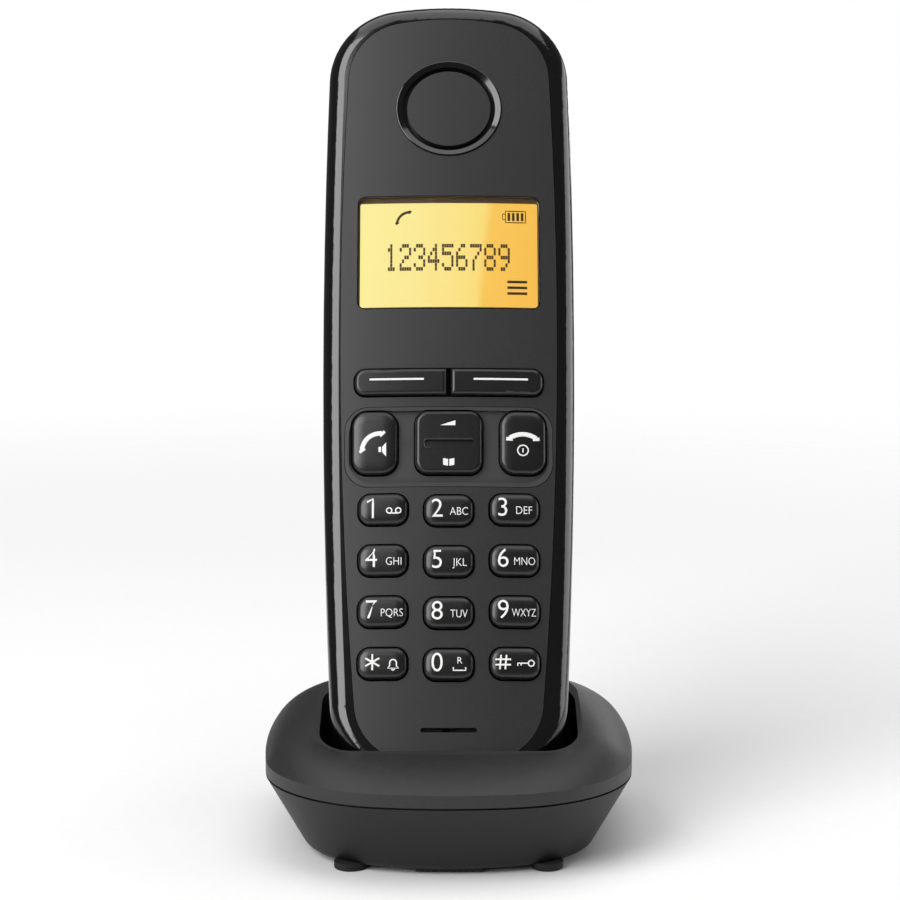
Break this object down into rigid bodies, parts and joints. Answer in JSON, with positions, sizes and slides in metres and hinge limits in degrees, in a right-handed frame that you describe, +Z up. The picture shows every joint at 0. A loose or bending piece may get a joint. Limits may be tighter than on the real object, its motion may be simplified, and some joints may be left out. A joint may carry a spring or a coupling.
{
  "type": "cordless phone with base",
  "caption": "Slim black cordless handset with a lit amber display and keypad, leaning back in a small rounded charging base.",
  "frame": {"origin": "on the desk surface, under the middle of the whole object's bounding box", "axes": "+Z up, -Y the side that the keys and display face, +X to the right of a person looking at the keys"},
  "size_m": [0.0696, 0.092, 0.1552],
  "materials": {
    "face_matte": "fine-grained matte moulding",
    "bezel_gloss": "polished",
    "housing_black": "fine-grained moulding",
    "key_black": "satin",
    "window": "clear hard-coated plastic",
    "lcd": "lit amber display",
    "base_top": "fine-grained matte moulding",
    "base_bottom": "satin moulding",
    "rubber": "soft",
    "steel": "plated",
    "gold": "gold-plated",
    "board": "green circuit board",
    "cell": "wrapped cell",
    "socket": "moulded socket"
  },
  "bodies": {
    "base": {"base_top_shell": "base_top", "base_bottom_shell": "base_bottom", "base_feet": "rubber", "base_screws": "steel", "base_board": "board", "base_antenna": "steel", "line_socket": "socket", "power_socket": "socket", "contact_barrels": "gold", "paging_switch": "steel"},
    "handset": {"front_frame": "bezel_gloss", "face_plate": "face_matte", "back_housing": "housing_black", "earpiece_ring": "bezel_gloss", "earpiece_cap": "face_matte", "earpiece_capsule": "steel", "display_window": "window", "lcd_module": "lcd", "nav_tray": "bezel_gloss", "keypad_mat": "rubber", "handset_board": "board", "microphone": "rubber", "battery_cell_left": "cell", "battery_cell_right": "cell", "battery_springs": "steel", "battery_plates": "steel", "charge_pads": "gold", "handset_screws": "steel", "handset_antenna": "steel", "handsfree_speaker": "steel"},
    "battery_cover": {"battery_cover": "housing_black"},
    "nav_rocker": {"nav_rocker": "key_black"},
    "softkey_left": {"softkey_left": "key_black"},
    "softkey_right": {"softkey_right": "key_black"},
    "talk_key": {"talk_key": "key_black"},
    "end_key": {"end_key": "key_black"},
    "key_1": {"key_1": "key_black"},
    "key_2": {"key_2": "key_black"},
    "key_3": {"key_3": "key_black"},
    "key_4": {"key_4": "key_black"},
    "key_5": {"key_5": "key_black"},
    "key_6": {"key_6": "key_black"},
    "key_7": {"key_7": "key_black"},
    "key_8": {"key_8": "key_black"},
    "key_9": {"key_9": "key_black"},
    "key_star": {"key_star": "key_black"},
    "key_0": {"key_0": "key_black"},
    "key_hash": {"key_hash": "key_black"},
    "charge_contact_left": {"charge_contact_left": "gold"},
    "charge_contact_right": {"charge_contact_right": "gold"},
    "paging_key": {"paging_key": "base_top"}
  },
  "joints": [
    {"name": "handset_lift", "type": "slide", "parent": "base", "child": "handset", "axis": [0, 0.3746, 0.9272], "range_m": [0, 0.06]},
    {"name": "battery_cover_hook", "type": "hinge", "parent": "handset", "child": "battery_cover", "pos_m": [0, 0.02803, 0.0866], "axis": [1, 0, 0], "range_deg": [0, 45]},
    {"name": "softkey_left_press", "type": "slide", "parent": "handset", "child": "softkey_left", "axis": [0, 0.9272, -0.3746], "range_m": [0, 0.0007], "stiffness_N_per_m": 300, "springref_m": -0.0005},
    {"name": "softkey_right_press", "type": "slide", "parent": "handset", "child": "softkey_right", "axis": [0, 0.9272, -0.3746], "range_m": [0, 0.0007], "stiffness_N_per_m": 300, "springref_m": -0.0005},
    {"name": "talk_key_press", "type": "slide", "parent": "handset", "child": "talk_key", "axis": [0, 0.9272, -0.3746], "range_m": [0, 0.0007], "stiffness_N_per_m": 300, "springref_m": -0.0005},
    {"name": "end_key_press", "type": "slide", "parent": "handset", "child": "end_key", "axis": [0, 0.9272, -0.3746], "range_m": [0, 0.0007], "stiffness_N_per_m": 300, "springref_m": -0.0005},
    {"name": "key_1_press", "type": "slide", "parent": "handset", "child": "key_1", "axis": [0, 0.9272, -0.3746], "range_m": [0, 0.0007], "stiffness_N_per_m": 300, "springref_m": -0.0005},
    {"name": "key_2_press", "type": "slide", "parent": "handset", "child": "key_2", "axis": [0, 0.9272, -0.3746], "range_m": [0, 0.0007], "stiffness_N_per_m": 300, "springref_m": -0.0005},
    {"name": "key_3_press", "type": "slide", "parent": "handset", "child": "key_3", "axis": [0, 0.9272, -0.3746], "range_m": [0, 0.0007], "stiffness_N_per_m": 300, "springref_m": -0.0005},
    {"name": "key_4_press", "type": "slide", "parent": "handset", "child": "key_4", "axis": [0, 0.9272, -0.3746], "range_m": [0, 0.0007], "stiffness_N_per_m": 300, "springref_m": -0.0005},
    {"name": "key_5_press", "type": "slide", "parent": "handset", "child": "key_5", "axis": [0, 0.9272, -0.3746], "range_m": [0, 0.0007], "stiffness_N_per_m": 300, "springref_m": -0.0005},
    {"name": "key_6_press", "type": "slide", "parent": "handset", "child": "key_6", "axis": [0, 0.9272, -0.3746], "range_m": [0, 0.0007], "stiffness_N_per_m": 300, "springref_m": -0.0005},
    {"name": "key_7_press", "type": "slide", "parent": "handset", "child": "key_7", "axis": [0, 0.9272, -0.3746], "range_m": [0, 0.0007], "stiffness_N_per_m": 300, "springref_m": -0.0005},
    {"name": "key_8_press", "type": "slide", "parent": "handset", "child": "key_8", "axis": [0, 0.9272, -0.3746], "range_m": [0, 0.0007], "stiffness_N_per_m": 300, "springref_m": -0.0005},
    {"name": "key_9_press", "type": "slide", "parent": "handset", "child": "key_9", "axis": [0, 0.9272, -0.3746], "range_m": [0, 0.0007], "stiffness_N_per_m": 300, "springref_m": -0.0005},
    {"name": "key_star_press", "type": "slide", "parent": "handset", "child": "key_star", "axis": [0, 0.9272, -0.3746], "range_m": [0, 0.0007], "stiffness_N_per_m": 300, "springref_m": -0.0005},
    {"name": "key_0_press", "type": "slide", "parent": "handset", "child": "key_0", "axis": [0, 0.9272, -0.3746], "range_m": [0, 0.0007], "stiffness_N_per_m": 300, "springref_m": -0.0005},
    {"name": "key_hash_press", "type": "slide", "parent": "handset", "child": "key_hash", "axis": [0, 0.9272, -0.3746], "range_m": [0, 0.0007], "stiffness_N_per_m": 300, "springref_m": -0.0005},
    {"name": "nav_rocker_tip", "type": "hinge", "parent": "handset", "child": "nav_rocker", "pos_m": [0, -0.00304, 0.07326], "axis": [1, 0, 0], "range_deg": [-3, 3], "stiffness_Nm_per_rad": 0.05},
    {"name": "charge_contact_left_press", "type": "slide", "parent": "base", "child": "charge_contact_left", "axis": [0, -0.3746, -0.9272], "range_m": [0, 0.001], "stiffness_N_per_m": 400, "springref_m": -0.0005},
    {"name": "charge_contact_right_press", "type": "slide", "parent": "base", "child": "charge_contact_right", "axis": [0, -0.3746, -0.9272], "range_m": [0, 0.001], "stiffness_N_per_m": 400, "springref_m": -0.0005},
    {"name": "paging_key_press", "type": "slide", "parent": "base", "child": "paging_key", "axis": [0, -0.3624, -0.932], "range_m": [0, 0.0008], "stiffness_N_per_m": 400, "springref_m": -0.0005}
  ]
}
